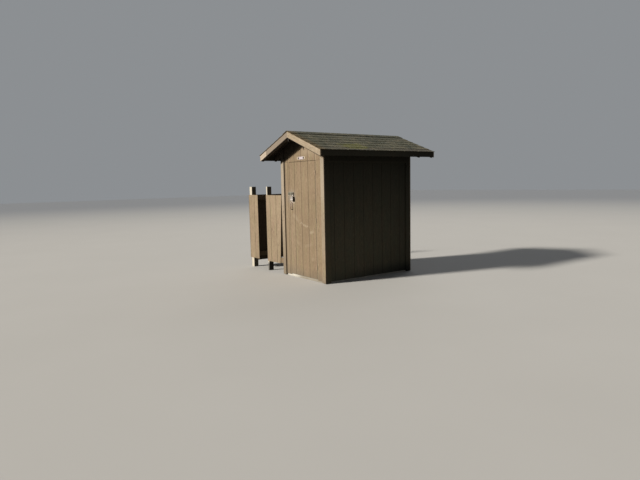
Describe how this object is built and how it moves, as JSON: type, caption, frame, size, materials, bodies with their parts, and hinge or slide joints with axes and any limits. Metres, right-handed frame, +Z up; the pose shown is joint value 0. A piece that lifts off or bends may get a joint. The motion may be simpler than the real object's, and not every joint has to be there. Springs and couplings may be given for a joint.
{
  "type": "outhouse",
  "caption": "Gable-roofed wooden outhouse of grooved plywood on a stud frame, with a hinged front door under a shingled roof and a privacy screen on posts beside it.",
  "frame": {"origin": "on the underside of the floor slab at ground level, under the middle of the building (the privacy screen left aside)", "axes": "+Z up; the door wall faces -Y; the ridge runs along Y; the privacy screen stands on the -X side"},
  "size_m": [2.7892, 2.457, 2.4517],
  "materials": {
    "concrete": "weathered concrete, trowelled on top",
    "framing_wood": "bare softwood, aged",
    "stained_plywood": "rough-sawn plywood in worn brown stain",
    "stained_trim": "sawn boards in worn brown stain",
    "post_wood": "bare posts, weathered pale",
    "newer_trim": "paler, newer board with little stain",
    "roof_plywood": "bare sheathing plywood, aged",
    "shingle": "mineral-surfaced shingles with moss",
    "zinc_steel": "dull zinc-plated steel with rust",
    "padlock_metal": "dull laminated steel"
  },
  "bodies": {
    "house": {"floor_slab": "concrete", "side_sill_plates": "framing_wood", "end_sill_plates": "framing_wood", "side_wall_studs": "framing_wood", "end_wall_studs": "framing_wood", "side_top_plates": "framing_wood", "end_top_plates": "framing_wood", "door_header": "framing_wood", "door_jambs": "stained_trim", "door_stops": "stained_trim", "left_siding": "stained_plywood", "right_siding": "stained_plywood", "back_siding": "stained_plywood", "front_siding_left": "stained_plywood", "front_siding_right": "stained_plywood", "front_gable_siding": "stained_plywood", "gable_corner_boards": "stained_trim", "side_corner_boards": "stained_trim", "frieze_boards": "stained_trim", "ridge_board": "framing_wood", "common_rafters": "framing_wood", "fly_rafters": "framing_wood", "eave_blocking": "framing_wood", "fascia_boards": "stained_trim", "left_rake_boards": "stained_trim", "right_rake_boards": "stained_trim", "front_left_rake_tail": "newer_trim", "roof_deck": "roof_plywood", "shingles_left": "shingle", "shingles_right": "shingle", "ridge_cap": "shingle", "hinge_frame_leaves": "zinc_steel", "bolt_keeper": "zinc_steel", "screen_posts": "post_wood", "screen_rails": "stained_trim", "screen_wing_panel": "stained_plywood", "screen_inner_panel": "stained_plywood", "screen_side_panel": "stained_plywood"},
    "door": {"door_panel": "stained_plywood", "door_stiles": "framing_wood", "door_rails": "framing_wood", "door_braces": "framing_wood", "hinge_door_leaves": "zinc_steel", "bolt_plate": "zinc_steel", "bolt_bar": "zinc_steel", "padlock": "padlock_metal", "pull_handle": "zinc_steel"}
  },
  "joints": [
    {"name": "door_hinge", "type": "hinge", "parent": "house", "child": "door", "pos_m": [0.393, -0.93, 1], "axis": [0, 0, 1], "range_deg": [0, 165]}
  ]
}
